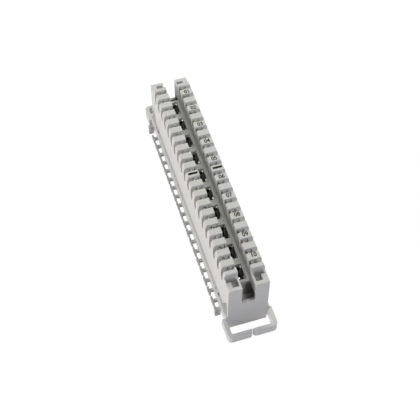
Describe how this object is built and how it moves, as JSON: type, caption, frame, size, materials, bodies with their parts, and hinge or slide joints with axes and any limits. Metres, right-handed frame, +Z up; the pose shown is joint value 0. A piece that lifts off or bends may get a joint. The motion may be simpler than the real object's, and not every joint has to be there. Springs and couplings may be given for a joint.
{
  "type": "punch down wiring block",
  "caption": "Long narrow light-grey wiring block with two toothed rows of wire slots, a plug channel between them, a comb along one side and a split wire ring at each end.",
  "frame": {"origin": "centre of the underside, halfway along the block and midway between the two tooth rows", "axes": "+X along the block, +Y towards the numbered tooth row and away from the comb, +Z up out of the tooth tops"},
  "size_m": [0.124, 0.0213, 0.031],
  "materials": {
    "housing_grey": "light grey satin moulded plastic",
    "base_grey": "light grey satin moulded plastic, a shade darker",
    "contact_silver": "silver-plated bright"
  },
  "bodies": {
    "root": {"upper_housing": "housing_grey", "lower_housing": "base_grey", "contact_left_01": "contact_silver", "contact_left_02": "contact_silver", "contact_left_03": "contact_silver", "contact_left_04": "contact_silver", "contact_left_05": "contact_silver", "contact_left_06": "contact_silver", "contact_left_07": "contact_silver", "contact_left_08": "contact_silver", "contact_left_09": "contact_silver", "contact_left_10": "contact_silver", "contact_left_11": "contact_silver", "contact_left_12": "contact_silver", "contact_left_13": "contact_silver", "contact_left_14": "contact_silver", "contact_left_15": "contact_silver", "contact_left_16": "contact_silver", "contact_left_17": "contact_silver", "contact_left_18": "contact_silver", "contact_left_19": "contact_silver", "contact_left_20": "contact_silver", "contact_right_01": "contact_silver", "contact_right_02": "contact_silver", "contact_right_03": "contact_silver", "contact_right_04": "contact_silver", "contact_right_05": "contact_silver", "contact_right_06": "contact_silver", "contact_right_07": "contact_silver", "contact_right_08": "contact_silver", "contact_right_09": "contact_silver", "contact_right_10": "contact_silver", "contact_right_11": "contact_silver", "contact_right_12": "contact_silver", "contact_right_13": "contact_silver", "contact_right_14": "contact_silver", "contact_right_15": "contact_silver", "contact_right_16": "contact_silver", "contact_right_17": "contact_silver", "contact_right_18": "contact_silver", "contact_right_19": "contact_silver", "contact_right_20": "contact_silver"}
  },
  "joints": []
}
